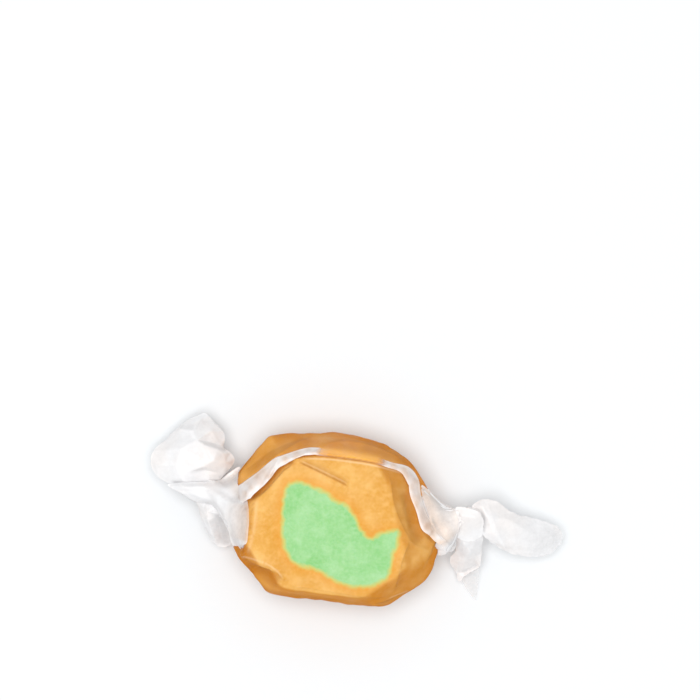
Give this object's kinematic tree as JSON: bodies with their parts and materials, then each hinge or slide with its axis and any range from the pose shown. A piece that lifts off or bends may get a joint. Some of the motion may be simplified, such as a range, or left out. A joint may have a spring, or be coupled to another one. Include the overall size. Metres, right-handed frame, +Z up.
{
  "type": "salt water taffy",
  "caption": "Piece of salt water taffy, caramel-coloured with a green centre, in a wax paper wrapper twisted at both ends.",
  "frame": {"origin": "middle of the taffy's flat underside, where it rests", "axes": "+X along the wrapper's length from the puffed tail to the two folded tails, +Z up through the cut face that shows the green centre, +Y away from the side that the short tail points to"},
  "size_m": [0.0552, 0.0257, 0.0158],
  "materials": {
    "taffy_caramel": "satin",
    "taffy_green": "satin",
    "wax_paper": "satin"
  },
  "bodies": {
    "root": {"taffy_caramel": "taffy_caramel", "taffy_green_centre": "taffy_green", "wax_paper_wrapper": "wax_paper"}
  },
  "joints": []
}
